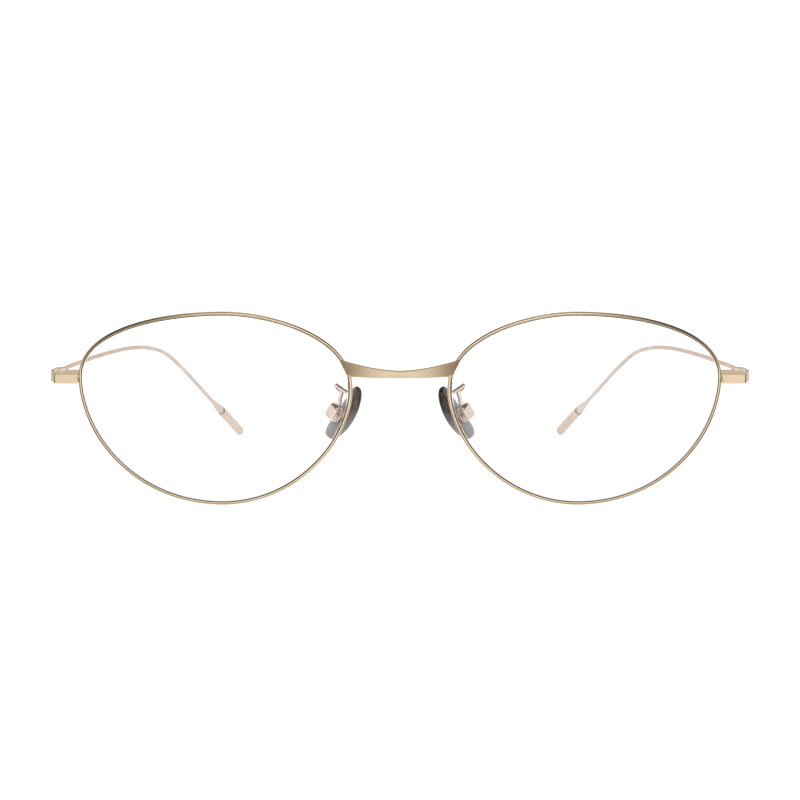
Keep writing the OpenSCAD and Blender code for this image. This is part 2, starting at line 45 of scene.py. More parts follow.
# ---- Driving sizes, in millimetres: the front ------------------------------------------
FRONT_Y = -69.0
LENS_X = 36.0
LENS_HEIGHT = 19.06
TILT_HEIGHT = 24.85
BASE_RADIUS = 132.0
FACE_WRAP = 4.0
FRONT_TILT = 4.0
RIM_DEPTH = 1.24
RIM_THICKNESS = 0.76
RIM_SPLIT = 0.12
RIM_FRONT_ROUND = 0.28
RIM_BACK_ROUND = 0.24
RIM_INNER_ROUND = 0.1
GROOVE_DEPTH = 0.34
GROOVE_HALF = 0.27
GROOVE_FLOOR_HALF = 0.2
GROOVE_ROUND = 0.03
LENS_THICKNESS = 1.4
LENS_GAP = 0.03
LENS_BEVEL = 0.12
TONGUE_HALF = 0.15
TONGUE_REACH = 0.24
LENS_STATIONS = 288
LENS_RINGS = 14

# The rim outline seen from the front: its outermost points as [outwards, up] from the lens
# centre, and the reach of each curve along the tangent there. The rim is split at its
# temple side, so the two reaches there have names.
RIM_TEMPLE = np.array([26.9, 5.8])
RIM_TOP = np.array([-2.0, 18.6])
RIM_NOSE = np.array([-26.3, 4.1])
RIM_BOTTOM = np.array([-0.9, -18.8])
REACH_TEMPLE_UP = 8.7
REACH_TEMPLE_DOWN = 11.1
RIM_CURVES = (
    (RIM_TEMPLE, RIM_TEMPLE + (0, REACH_TEMPLE_UP), RIM_TOP + (13.7, 0), RIM_TOP),
    (RIM_TOP, RIM_TOP - (8.9, 0), RIM_NOSE + (0, 10.1), RIM_NOSE),
    (RIM_NOSE, RIM_NOSE - (0, 10.8), RIM_BOTTOM - (14.3, 0), RIM_BOTTOM),
    (RIM_BOTTOM, RIM_BOTTOM + (17.5, 0), RIM_TEMPLE - (0, REACH_TEMPLE_DOWN), RIM_TEMPLE),
)
STEPS_PER_CURVE = 72

# Where the bridge's top and lower edges meet the rim, counted along the outline
BRIDGE_TOP_U = 1.778
BRIDGE_LOW_U = 1.921
BRIDGE_MID_TOP = 26.7
BRIDGE_HEIGHT = 1.5
BRIDGE_THICKNESS = 0.85
BRIDGE_BOW = 0.9
BRIDGE_FRONT = -1.55
BRIDGE_RISE_POWER = 1.7
BRIDGE_ROUND = 0.2
BRIDGE_BEVEL = 0.16
BRIDGE_BEVEL_GROWTH = 0.2
BRIDGE_STEPS = 96
BRIDGE_FACE_ROWS = 8

# ---- Hinges and temples ----------------------------------------------------------------
END_LENGTH = 5.15
END_SINK = 0.1
END_FRONT = 4.05
END_LEG = 1.2
END_BACK = 7.9
END_LOW = 23.75
END_HIGH = 26.2
END_OUTER_CORNER = 0.5
END_INNER_CORNER = 0.15
END_LOW_CORNER = 0.3
END_NOTCH = 0.25
CHAMFER_DROP = 0.6
CHAMFER_DEPTH = 0.54
LOCK_INSET = 1.35
LOCK_WIDTH = 2.3
LOCK_HEIGHT = 1.1
LOCK_GAP = 0.05
LOCK_BORE_R = 0.85
LOCK_BORE_DEPTH = 0.4
LOCK_EDGES = (0.08, 0.06)
LOCK_HEAD_R = 0.8
LOCK_HEAD_H = 0.36
LOCK_SLOT_DEPTH = 0.18
HINGE_INSET = 1.2
HINGE_Y = 9.05
HINGE_LOW = 23.78
KNUCKLE_R = 1.0
OUTER_KNUCKLE = 0.8
MIDDLE_KNUCKLE = 1.05
KNUCKLE_GAP = 0.05
HINGE_HEAD_D = 1.6
HINGE_HEAD_H = 0.3
HINGE_SLOT_DEPTH = 0.14
RUNNING_GAP = 0.05
FRONT_LEAF_WIDTH = 1.45
FRONT_LEAF_BACK = 7.75
LEAF_OVERLAP = 0.1
LEAF_WEB_FRONT = 0.3
LEAF_WEB_BACK = 1.15
LEAF_PLATE = 0.55
LEAF_PLATE_LENGTH = 3.4
LEAF_PLATE_HEIGHT = 1.5
FINE_EDGE = 0.05
DRIVER_SLOT = 0.25
HEAD_DOME = 0.12
HEAD_RECESS = 0.02

# The temple is a flat blade at the hinge, a round wire along the head, and a flat tip.
ARM_BESIDE_KNUCKLE = 0.6
BLADE_HALF = (0.52, 1.18)
BLADE_LENGTH = 4.5
BLADE_FADE = 6.5
# The rounded front end of the blade: [distance from its end, share of the full section]
BLADE_START = ((0.0, 0.86), (0.05, 0.96), (0.14, 1.0))
WIRE_HALF = (0.45, 0.45)
TEMPLE_STRAIGHT = 75.0
TIP_HALF = (0.95, 1.1)
TIP_FADE = 8.0
TIP_FADE_AHEAD = 6.0
TIP_LENGTH = 12.4
TIP_ROUND = 1.0
SEAM_GAP = 0.6
SEAM_DIP = 0.9
SEAM_RUN = 0.5
SEAM_SINK = 0.4
# Size of the painted shadow core in the seam, as a share of the temple's section
SEAM_SHADOW_CORE = 0.7
TEMPLE_SIDES = 32

# Temple route: [inwards from the blade, back, height]. The arm's points count back from the
# hinge, and the ear's from the end of the straight part.
ARM_POINTS = (
    (0, -0.75, 25.0), (0, 3.5, 25.05), (0.5, 8, 25.45), (1.3, 14, 25.8),
    (2.2, 24, 25.9), (3.3, 41, 25.85), (5.2, 61, 25.7),
)
EAR_POINTS = (
    (7.5, 0, 25.5), (10.3, 10, 24.8), (13.1, 18, 23.1), (15.8, 26, 19.6),
    (18.8, 34, 15), (22.1, 42, 9.9), (25.4, 49, 5.2), (28.5, 55.4, 0.55),
)

# ---- Nose pads -------------------------------------------------------------------------
PAD_CENTRE = (10.6, 8.0, 17.5)
PAD_LEAN = 32.0
PAD_SPLAY = 30.0
PAD_LENGTH = 11.6
PAD_WIDTH = 6.5
PAD_NOSE_HALF = 1.1
PAD_OUTER_HALF = 1.0
PAD_CURL = 0.8
PAD_TAPER = 0.2
PAD_FULLNESS = 0.7
PAD_END_ANGLE = 86.0
PAD_AXIS_X = 2.35
PAD_AXIS_Z = -0.85
BOX_NEAR = 1.45
BOX_FAR = 3.6
BOX_HEIGHT = 3.3
BOX_WIDTH = 3.2
BOX_SLOT = 2.0
BOX_SLOT_HEIGHT = 2.1
BOX_CORNER = 1.05
BOX_EDGE = 0.3
BOX_WALL = 0.35
# The raised ring round the screw, from the middle outwards and back: [radius, height]
BOX_RING = (
    (0, -0.3), (1.0, -0.3), (1.0, 0.02), (0.9, 0.14), (0.78, 0.16), (0.76, 0.02), (0, 0.02),
)
PAD_SCREW_D = 0.9
PAD_HEAD_R = 0.75
PAD_HEAD_H = 0.35
PAD_SLOT_DEPTH = 0.16
# Where the pad arm leaves the rim, counted along the outline and measured outwards from it
PAD_ARM_U = 2.04
PAD_ARM_OUT = 0.12
PAD_ARM_R = 0.42
PAD_ARM_SINK = 0.05
PAD_ARM_END_X = 2.5
PAD_ARM_POINTS = (
    (10.75, 2.9, 22.4), (11.8, 4.4, 22.95), (12.55, 5.6, 23.35),
    (12.25, 6.55, 22.65), (11.55, 6.9, 21.85), (11.8, 7.0, 20.9),
)


# ---- Curves and frames -----------------------------------------------------------------
def unit(v):
    """The vector at length 1."""
    return v / np.linalg.norm(v)


def turn(axis, degrees):
    """A turn about an axis through the origin."""
    return Matrix.Rotation(math.radians(degrees), 4, axis)


def through(matrix, points):
    """The points moved by a matrix."""
    m = np.array(matrix)
    return np.asarray(points, float) @ m[:3, :3].T + m[:3, 3]


# From the front's own place to its place in the open frame
TO_PART = Matrix.Translation((0, FRONT_Y, 0))
LEAN = (Matrix.Translation((0, 0, TILT_HEIGHT)) @ turn("X", FRONT_TILT)
        @ Matrix.Translation((0, 0, -TILT_HEIGHT)))
LENS_FRAME = LEAN @ Matrix.Translation((LENS_X, 0, LENS_HEIGHT)) @ turn("Z", FACE_WRAP)
PAD_FRAME = Matrix.Translation(PAD_CENTRE) @ turn("Y", -PAD_LEAN) @ turn("Z", -PAD_SPLAY)


def outline(u):
    """Point of the rim outline, and its outward direction. u runs from 0 to 4."""
    i = min(int(u), len(RIM_CURVES) - 1)
    a, b, c, d = RIM_CURVES[i]
    t = u - i
    s = 1 - t
    point = a * s**3 + b * 3 * t * s * s + c * 3 * t * t * s + d * t**3
    slope = unit((b - a) * 3 * s * s + (c - b) * 6 * t * s + (d - c) * 3 * t * t)
    return point, np.array([slope[1], -slope[0]])


def grown(u, by):
    """Point of the outline at u, moved outwards."""
    point, outward = outline(u)
    return point + outward * by


def on_sphere(p, back=0.0):
    """A point of the outline's plane put on the lens sphere, moved back by a distance."""
    return np.array([p[0], BASE_RADIUS - math.sqrt(BASE_RADIUS**2 - p @ p) + back, p[1]])


def smooth_path(points, steps):
    """A smooth curve through the points, with each slope taken from the two neighbours."""
    p = np.array(points, float)
    gaps = np.linalg.norm(np.diff(p, axis=0), axis=1)
    slopes = [unit(p[1] - p[0])]
    slopes += [(p[i + 1] - p[i - 1]) / (gaps[i] + gaps[i - 1]) for i in range(1, len(p) - 1)]
    slopes += [unit(p[-1] - p[-2])]
    path = []
    for i in range(len(p) - 1):
        for k in range(steps):
            t = k / steps
            path.append(
                p[i] * (1 + 2 * t) * (1 - t)**2 + slopes[i] * gaps[i] * t * (1 - t)**2
                + p[i + 1] * t * t * (3 - 2 * t) - slopes[i + 1] * gaps[i] * t * t * (1 - t)
            )
    return np.array(path + [p[-1]])


def directions(path):
    """The direction of a path at each of its points."""
    ahead = np.vstack([path[1:], path[-1:]])
    behind = np.vstack([path[:1], path[:-1]])
    return np.array([unit(v) for v in ahead - behind])


def ease(x):
    """0 up to x = 0 and 1 from x = 1, with a smooth rise between."""
    t = max(0.0, min(1.0, x))
    return t * t * (3 - 2 * t)


def rounded(corners, steps=5):
    """A polygon from (x, y, radius) corners, each corner drawn as an arc."""
    points = []
    n = len(corners)
    for i, (x, y, r) in enumerate(corners):
        here = np.array([x, y], float)
        before = unit(np.array(corners[i - 1][:2], float) - here)
        after = unit(np.array(corners[(i + 1) % n][:2], float) - here)
        if r <= 0:
            points.append(here)
            continue
        half = math.acos(max(-1.0, min(1.0, float(before @ after)))) / 2
        centre = here + unit(before + after) * r / math.sin(half)
        start = here + before * r / math.tan(half) - centre
        stop = here + after * r / math.tan(half) - centre
        a0 = math.atan2(start[1], start[0])
        sweep = (math.atan2(stop[1], stop[0]) - a0 + math.pi) % (2 * math.pi) - math.pi
        for k in range(steps + 1):
            a = a0 + sweep * k / steps
            points.append(centre + r * np.array([math.cos(a), math.sin(a)]))
    return np.array(points)


def circle(radius, count):
    """Points round the origin."""
    turns = np.linspace(0, 2 * math.pi, count, endpoint=False)
    return np.column_stack([radius * np.cos(turns), radius * np.sin(turns)])


# ---- Mesh building ---------------------------------------------------------------------
def solid(points, faces, indices):
    """A closed mesh with its faces turned outwards. indices gives each face's material."""
    mesh = bpy.data.meshes.new("solid")
    mesh.from_pydata([tuple(p) for p in points], [], faces)
    mesh.polygons.foreach_set("material_index", indices)
    bm = bmesh.new()
    bm.from_mesh(mesh)
    bmesh.ops.remove_doubles(bm, verts=bm.verts, dist=1e-5)
    bmesh.ops.recalc_face_normals(bm, faces=bm.faces)
    bm.to_mesh(mesh)
    bm.free()
    return mesh


def loft(rings, index_of=None):
    """A solid through a row of rings with equal point counts. index_of gives the material of
    the face that starts at a ring's point j, and of both ends for j = -1."""
    n, count = len(rings[0]), len(rings)
    faces, indices = [], []
    for i in range(count - 1):
        for j in range(n):
            k = (j + 1) % n
            faces.append((i * n + j, i * n + k, (i + 1) * n + k, (i + 1) * n + j))
            indices.append(index_of(j) if index_of else 0)
    faces += [tuple(range(n)), tuple(range((count - 1) * n, count * n))]
    indices += [index_of(-1) if index_of else 0] * 2
    return solid(np.concatenate(rings), faces, indices)


def prism(shape, low, high, matrix=None):
    """A flat shape in X and Y raised from low to high."""
    rings = [np.column_stack([shape, np.full(len(shape), z)]) for z in (low, high)]
    mesh = loft(rings)
    if matrix is not None:
        mesh.transform(matrix)
    return mesh


def turned(profile, matrix=None):
    """A solid of revolution about Z from (radius, height) points that start and end on the axis."""
    sides = 48
    rings = [np.column_stack([circle(max(r, 1e-3), sides), np.full(sides, z)]) for r, z in profile]
    mesh = loft(rings)
    if matrix is not None:
        mesh.transform(matrix)
    return mesh


def merged(base, *others, operation="UNION"):
    """The first mesh joined with, or cut by, the others."""
    for other in others:
        a = bpy.data.objects.new("a", base)
        b = bpy.data.objects.new("b", other)
        for o in (a, b):
            bpy.context.scene.collection.objects.link(o)
        boolean = a.modifiers.new("boolean", "BOOLEAN")
        boolean.operation = operation
        boolean.solver = "EXACT"
        boolean.object = b
        bpy.context.view_layer.update()
        result = a.evaluated_get(bpy.context.evaluated_depsgraph_get())
        base = bpy.data.meshes.new_from_object(result)
        for o in (a, b):
            bpy.data.objects.remove(o)
    return base


def cut(base, *others):
    """The first mesh with the others taken away."""
    return merged(base, *others, operation="DIFFERENCE")


SHARP_ANGLE = 32.0


def softened(mesh, width, steps=2, chosen=None):
    """The mesh with its sharp edges rounded, or only those that chosen(edge's middle) accepts."""
    bm = bmesh.new()
    bm.from_mesh(mesh)
    bmesh.ops.remove_doubles(bm, verts=bm.verts, dist=1e-4)
    bmesh.ops.dissolve_limit(bm, angle_limit=math.radians(0.5), verts=bm.verts, edges=bm.edges)
    edges = [
        e for e in bm.edges
        if len(e.link_faces) == 2 and e.calc_face_angle() > math.radians(SHARP_ANGLE)
        and (chosen is None or chosen((e.verts[0].co + e.verts[1].co) / 2))
    ]
    bmesh.ops.bevel(bm, geom=edges, offset=width, offset_type="OFFSET", segments=steps,
                    profile=0.5, affect="EDGES", clamp_overlap=True)
    bm.to_mesh(mesh)
    bm.free()
    return mesh


# An edge that turns by more than CRISP is drawn crisp, and one between the two is part of a
# rounding. WIDE_FACE is in square metres.
CRISP = math.radians(38.0)
SLIGHT = math.radians(8.0)
WIDE_FACE = 6e-7


def shaded(mesh):
    """Smooth shading with crisp edges. Wide faces beside a rounded edge are left flat, so that
    the rounding doesn't bend their shading."""
    bm = bmesh.new()
    bm.from_mesh(mesh)
    turns = {e: e.calc_face_angle() if len(e.link_faces) == 2 else math.pi for e in bm.edges}
    for face in bm.faces:
        beside_round = any(SLIGHT < turns[edge] < CRISP for edge in face.edges)
        face.smooth = face.calc_area() < WIDE_FACE or not beside_round
    for edge in bm.edges:
        edge.smooth = turns[edge] < CRISP
    bm.to_mesh(mesh)
    bm.free()
    return mesh


def add_piece(name, mesh, body, materials, nodes):
    """One piece from a finished mesh in millimetres, riding on its body."""
    mesh.transform(Matrix.Scale(MM, 4))
    mesh.materials.clear()
    for material in materials:
        mesh.materials.append(material)
    mesh.name = name
    piece = bpy.data.objects.new(name, shaded(mesh))
    bpy.context.scene.collection.objects.link(piece)
    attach(piece, body)
    if nodes:
        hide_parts(*nodes)
    return piece


def add_both(name, mesh, body, materials, node=None):
    """The left piece and its mirror image. mesh is in the front's own place, in millimetres."""
    mesh.transform(TO_PART)
    mirror = mesh.copy()
    mirror.transform(Matrix.Scale(-1, 4, (1, 0, 0)))
    mirror.flip_normals()
    for side, half in zip(SIDES, (mesh, mirror)):
        rides = body if body == "front" else f"{body}_{side}"
        nodes = [f"{node}_{side}"] if node else []
        add_piece(f"{name}_{side}", half, rides, materials, nodes)


# ---- Materials -------------------------------------------------------------------------
class Paint:
    """A procedural material around one Principled shader, textured in the object's own space."""

    def __init__(self, name, **sockets):
        self.material = bpy.data.materials.new(name)
        self.material.use_nodes = True
        self.nodes = self.material.node_tree.nodes
        self.links = self.material.node_tree.links
        self.shader = self.nodes["Principled BSDF"]
        for socket, value in sockets.items():
            self.shader.inputs[socket.replace("_", " ")].default_value = value

    def noise(self, scale, detail=3.0, stretch=(1, 1, 1)):
        """Noise from 0 to 1 over the object."""
        place = self.nodes.new("ShaderNodeTexCoord")
        mapping = self.nodes.new("ShaderNodeMapping")
        mapping.inputs["Scale"].default_value = stretch
        texture = self.nodes.new("ShaderNodeTexNoise")
        texture.inputs["Scale"].default_value = scale
        texture.inputs["Detail"].default_value = detail
        self.links.new(place.outputs["Object"], mapping.inputs["Vector"])
        self.links.new(mapping.outputs["Vector"], texture.inputs["Vector"])
        return texture.outputs["Fac"]

    def ramp(self, source, dark, light, low=0.35, high=0.65):
        """A colour from dark to light as the source goes from low to high."""
        ramp = self.nodes.new("ShaderNodeValToRGB")
        ramp.color_ramp.elements[0].position = low
        ramp.color_ramp.elements[0].color = (*dark, 1)
        ramp.color_ramp.elements[1].position = high
        ramp.color_ramp.elements[1].color = (*light, 1)
        self.links.new(source, ramp.inputs["Fac"])
        return ramp.outputs["Color"]

    def colour(self, source, dark, light):
        """The base colour drifts between two tones."""
        self.links.new(self.ramp(source, dark, light), self.shader.inputs["Base Color"])

    def by_height(self, below, above, start, stop):
        """The base colour changes from one to the other between two heights of the object. On the pad it
        paints shade on the upper part.
        """
        place = self.nodes.new("ShaderNodeTexCoord")
        axes = self.nodes.new("ShaderNodeSeparateXYZ")
        spread = self.nodes.new("ShaderNodeMapRange")
        spread.inputs["From Min"].default_value = start
        spread.inputs["From Max"].default_value = stop
        mix = self.nodes.new("ShaderNodeMix")
        mix.data_type = "RGBA"
        self.links.new(place.outputs["Object"], axes.inputs["Vector"])
        self.links.new(axes.outputs["Z"], spread.inputs["Value"])
        share, first, second = (mix.inputs[i] for i in (0, 6, 7))
        self.links.new(spread.outputs["Result"], share)
        self.links.new(below, first)
        self.links.new(above, second)
        self.links.new(mix.outputs[2], self.shader.inputs["Base Color"])

    def rough(self, source, low, high):
        """The roughness drifts between two values."""
        spread = self.nodes.new("ShaderNodeMapRange")
        spread.inputs["From Min"].default_value = 0.3
        spread.inputs["From Max"].default_value = 0.7
        spread.inputs["To Min"].default_value = low
        spread.inputs["To Max"].default_value = high
        self.links.new(source, spread.inputs["Value"])
        self.links.new(spread.outputs["Result"], self.shader.inputs["Roughness"])

    def bump(self, source, strength, distance):
        """The source shapes the surface by up to a distance in metres."""
        bump = self.nodes.new("ShaderNodeBump")
        bump.inputs["Strength"].default_value = strength
        bump.inputs["Distance"].default_value = distance
        self.links.new(source, bump.inputs["Height"])
        self.links.new(bump.outputs["Normal"], self.shader.inputs["Normal"])


def metal(name, dark, light, rough, grain=900.0, stretch=(1, 1, 1), bump=0.04, depth=4e-6, **sockets):
    """Plated metal: a slow drift of tone, and a finer grain in its gloss and surface."""
    paint = Paint(name, Metallic=1.0, **sockets)
    paint.colour(paint.noise(160.0, 2.0), dark, light)
    fine = paint.noise(grain, 4.0, stretch)
    paint.rough(fine, *rough)
    paint.bump(fine, bump, depth)
    return paint.material


def make_materials():
    """Every look by name. Colours are from the darker to the lighter tone."""
    made = {
        "gold": metal("polished_gold", (0.80, 0.64, 0.44), (0.88, 0.72, 0.53), (0.04, 0.09)),
        "edge": metal("bridge_polish", (0.82, 0.66, 0.46), (0.90, 0.75, 0.55), (0.04, 0.08)),
        "satin": metal("satin_gold", (0.64, 0.505, 0.35), (0.69, 0.55, 0.385), (0.15, 0.2), 620.0,
                       (0.12, 1, 6), 0.16, 8e-6),
        "face": metal("fine_satin_gold", (0.69, 0.545, 0.375), (0.74, 0.59, 0.41), (0.12, 0.18), 800.0,
                      (0.15, 1, 5), 0.12, 6e-6),
        "champagne": metal("champagne_gold", (0.74, 0.61, 0.51), (0.84, 0.71, 0.61), (0.10, 0.18),
                           Specular_Tint=(0.84, 0.74, 0.67, 1)),
        "wire": metal("soft_champagne", (0.76, 0.63, 0.54), (0.86, 0.74, 0.65), (0.3, 0.4), 1200.0,
                      Specular_Tint=(0.84, 0.74, 0.67, 1)),
        "tip": metal("satin_champagne", (0.74, 0.60, 0.49), (0.82, 0.68, 0.57), (0.2, 0.28), 1400.0,
                     Specular_Tint=(0.84, 0.74, 0.67, 1)),
        "screw": metal("screw_metal", (0.52, 0.42, 0.37), (0.66, 0.54, 0.48), (0.14, 0.24), 1800.0),
    }
    # The seam's near-black colour is a painted shadow for the gap between the temple's arm and tip.
    seam = Paint("seam_shadow", Specular_IOR_Level=0.1)
    grain = seam.noise(1500.0)
    seam.colour(grain, (0.015, 0.012, 0.01), (0.035, 0.028, 0.022))
    seam.rough(grain, 0.6, 0.8)
    made["seam"] = seam.material

    lens = Paint("clear_lens", Transmission_Weight=1.0, IOR=1.5, Specular_IOR_Level=0.1)
    haze = lens.noise(60.0, 1.0)
    lens.colour(haze, (0.985, 0.988, 0.995), (1.0, 1.0, 1.0))
    lens.rough(haze, 0.0, 0.012)
    made["lens"] = lens.material

    ground = Paint("ground_lens_edge", Transmission_Weight=0.1, IOR=1.5, Specular_IOR_Level=0.1)
    frost = ground.noise(2600.0, 4.0)
    ground.colour(frost, (0.46, 0.40, 0.62), (0.56, 0.50, 0.72))
    ground.rough(frost, 0.4, 0.6)
    ground.bump(frost, 0.2, 8e-6)
    made["ground"] = ground.material

    smoke = Paint("smoke_pad", Transmission_Weight=0.1, IOR=1.46, Coat_Weight=0.6, Coat_Roughness=0.05)
    # The lower grey is the pad's own tone. The dark brown upper part is painted shade, for the pad
    # looking darker where it is seen through more of its translucent body.
    streaks = smoke.noise(420.0, 3.0, (1, 1, 0.22))
    low = smoke.ramp(streaks, (0.33, 0.33, 0.34), (0.41, 0.41, 0.425))
    high = smoke.ramp(streaks, (0.02, 0.013, 0.009), (0.15, 0.11, 0.09), 0.42, 0.6)
    smoke.by_height(low, high, 0.0145, 0.0185)
    smoke.rough(streaks, 0.12, 0.2)
    smoke.bump(smoke.noise(1600.0), 0.02, 3e-6)
    made["smoke"] = smoke.material
    return made


LOOK = make_materials()


# ---- Rims and lenses -------------------------------------------------------------------
def rim_section():
    """[outwards, back] round the wire, its outer corners well rounded and its groove inside."""
    out, back = RIM_THICKNESS / 2, RIM_DEPTH / 2
    floor = GROOVE_DEPTH - out
    return rounded([
        (-out, -back, RIM_FRONT_ROUND), (out, -back, RIM_FRONT_ROUND),
        (out, back, RIM_BACK_ROUND), (-out, back, RIM_INNER_ROUND),
        (-out, GROOVE_HALF, GROOVE_ROUND), (floor, GROOVE_FLOOR_HALF, GROOVE_ROUND),
        (floor, -GROOVE_FLOOR_HALF, GROOVE_ROUND), (-out, -GROOVE_HALF, GROOVE_ROUND),
    ])


def rim_mesh():
    """The wire all round the lens, with a small gap at its split on the temple side."""
    curves = len(RIM_CURVES)
    steps = curves * STEPS_PER_CURVE
    first = RIM_SPLIT / 2 / (3 * REACH_TEMPLE_UP)
    last = curves - RIM_SPLIT / 2 / (3 * REACH_TEMPLE_DOWN)
    stations = [first] + [i / STEPS_PER_CURVE for i in range(1, steps)] + [last]
    section = rim_section()
    rings = []
    for u in stations:
        point, outward = outline(u)
        centre = on_sphere(point)
        rings.append([centre + (outward[0] * a, b, outward[1] * a) for a, b in section])
    mesh = loft([np.array(r) for r in rings])
    mesh.transform(LENS_FRAME)
    return mesh


def lens_mesh():
    """Both polished faces, then the ground edge with the tongue that sits in the groove."""
    around = [len(RIM_CURVES) * i / LENS_STATIONS for i in range(LENS_STATIONS)]
    edge = -RIM_THICKNESS / 2 - LENS_GAP
    half = LENS_THICKNESS / 2
    faces_in = [k / LENS_RINGS for k in range(1, LENS_RINGS)]
    # [share of the outline, growth, depth] from the middle of the front to that of the back
    ground = [
        (1, edge - LENS_BEVEL, -half), (1, edge, LENS_BEVEL - half), (1, edge, -TONGUE_HALF),
        (1, edge + TONGUE_REACH, -TONGUE_HALF), (1, edge + TONGUE_REACH, TONGUE_HALF),
        (1, edge, TONGUE_HALF), (1, edge, half - LENS_BEVEL), (1, edge - LENS_BEVEL, half),
    ]
    profile = [(scale, edge - LENS_BEVEL, -half) for scale in faces_in]
    profile += ground
    profile += [(scale, edge - LENS_BEVEL, half) for scale in reversed(faces_in)]
    first_ground = len(faces_in)
    last_ground = first_ground + len(ground) - 1
    rings = [np.array([on_sphere(grown(u, by) * scale, back) for u in around])
             for scale, by, back in profile]
    n, faces, indices = len(around), [], []
    for i in range(len(rings) - 1):
        for j in range(n):
            k = (j + 1) % n
            faces.append((i * n + j, i * n + k, (i + 1) * n + k, (i + 1) * n + j))
            indices.append(1 if first_ground <= i < last_ground else 0)
    points = list(np.concatenate(rings))
    for ring, back in ((0, -half), (len(rings) - 1, half)):
        points.append(on_sphere(np.zeros(2), back))
        for j in range(n):
            faces.append((ring * n + j, ring * n + (j + 1) % n, len(points) - 1))
            indices.append(0)
    mesh = solid(points, faces, indices)
    mesh.transform(LENS_FRAME)
    return mesh


# ---- Bridge ----------------------------------------------------------------------------
def bridge_end(u):
    """How far out and how high the inside of the rim wire is at u."""
    end = through(LENS_FRAME, on_sphere(grown(u, -RIM_THICKNESS / 2)))
    return end[0], end[2]


def bridge_mesh():
    """A bowed sheet with a satin face, a fine polished top edge and a lower bevel that widens."""
    (_, top_end), (chord, low_end) = bridge_end(BRIDGE_TOP_U), bridge_end(BRIDGE_LOW_U)
    mid_low = BRIDGE_MID_TOP - BRIDGE_HEIGHT
    bow_radius = (chord**2 + BRIDGE_BOW**2) / (2 * BRIDGE_BOW)
    rows = BRIDGE_FACE_ROWS
    rings = []
    for k in np.linspace(-1, 1, BRIDGE_STEPS + 1):
        top = BRIDGE_MID_TOP + (top_end - BRIDGE_MID_TOP) * abs(k)**BRIDGE_RISE_POWER
        low = mid_low + (low_end - mid_low) * k * k
        bevel = BRIDGE_BEVEL + BRIDGE_BEVEL_GROWTH * abs(k)**3
        face_top, face_low = top - BRIDGE_ROUND, low + bevel
        section = [(face_top + (face_low - face_top) * r / rows, 0.0) for r in range(rows + 1)]
        section += [(low, bevel), (low, BRIDGE_THICKNESS), (top, BRIDGE_THICKNESS)]
        section += [(face_top + BRIDGE_ROUND * math.cos(a), BRIDGE_ROUND * (1 - math.sin(a)))
                    for a in np.linspace(0, math.pi / 2, 6)[:-1]]
        ring = []
        for z, depth in section:
            share = (top - z) / (top - low)
            x = k * bridge_end(BRIDGE_TOP_U + (BRIDGE_LOW_U - BRIDGE_TOP_U) * share)[0]
            bow = bow_radius - math.sqrt(bow_radius**2 - x * x)
            ring.append((x, BRIDGE_FRONT + bow + depth, z))
        rings.append(np.array(ring))
    return loft(rings, index_of=lambda j: 0 if 0 <= j < rows else 1)


# ---- End piece, rim lock and hinge -----------------------------------------------------
RIM_OUTSIDE = through(LENS_FRAME, on_sphere(grown(0, RIM_THICKNESS / 2)))
END_IN = RIM_OUTSIDE[0] - END_SINK
END_OUT = END_IN + END_LENGTH
END_INNER_FACE = END_FRONT + END_LEG
SPLIT_HEIGHT = RIM_OUTSIDE[2]
LOCK_X = END_IN + LOCK_INSET
LOCK_Y = END_INNER_FACE + LOCK_WIDTH / 2
LOCK_LOW = SPLIT_HEIGHT - LOCK_GAP - LOCK_HEIGHT
HINGE_X = END_OUT - HINGE_INSET
MIDDLE_LOW = HINGE_LOW + OUTER_KNUCKLE + KNUCKLE_GAP
UPPER_LOW = MIDDLE_LOW + MIDDLE_KNUCKLE + KNUCKLE_GAP
HINGE_HIGH = UPPER_LOW + OUTER_KNUCKLE
ARM_X = HINGE_X + KNUCKLE_R + ARM_BESIDE_KNUCKLE
# How far a cutting shape runs past what it cuts
PAST = 1.0


def block(low, high):
    """A box between two corners."""
    shape = [(low[0], low[1]), (high[0], low[1]), (high[0], high[1]), (low[0], high[1])]
    return prism(np.array(shape, float), low[2], high[2])


def drum(radius, low, high, x, y):
    """An upright cylinder."""
    profile = [(0, low), (radius, low), (radius, high), (0, high)]
    return turned(profile, Matrix.Translation((x, y, 0)))


def end_piece_mesh():
    """An L seen from above, its front face chamfered along the top and rounded at the lower
    outer corner, and its inner end cut back under the split of the rim."""
    shape = rounded([
        (END_IN, END_FRONT, 0), (END_OUT, END_FRONT, END_OUTER_CORNER), (END_OUT, END_BACK, 0),
        (END_OUT - END_LEG, END_BACK, 0), (END_OUT - END_LEG, END_INNER_FACE, END_INNER_CORNER),
        (END_IN, END_INNER_FACE, 0),
    ])
    notch = block((END_IN - PAST, END_FRONT - PAST, END_LOW - PAST),
                  (END_IN + END_NOTCH, END_INNER_FACE + PAST, SPLIT_HEIGHT))
    chamfer = np.array([
        (END_FRONT - 0.01, END_HIGH - CHAMFER_DROP), (END_FRONT - PAST / 2, END_HIGH - CHAMFER_DROP),
        (END_FRONT - PAST / 2, END_HIGH + PAST / 2), (END_FRONT + CHAMFER_DEPTH, END_HIGH + 0.01),
    ])
    along_x = Matrix(((0, 0, 1, 0), (1, 0, 0, 0), (0, 1, 0, 0), (0, 0, 0, 1)))
    mesh = cut(prism(shape, END_LOW, END_HIGH), notch)
    mesh = cut(mesh, prism(chamfer, END_IN - PAST, END_OUT + PAST, along_x))

    def low_outer_corner(place):
        return place.z < END_LOW + 0.01 and place.x > END_OUT - 1.0

    mesh = softened(mesh, END_LOW_CORNER, steps=4, chosen=low_outer_corner)
    return softened(mesh, FINE_EDGE)


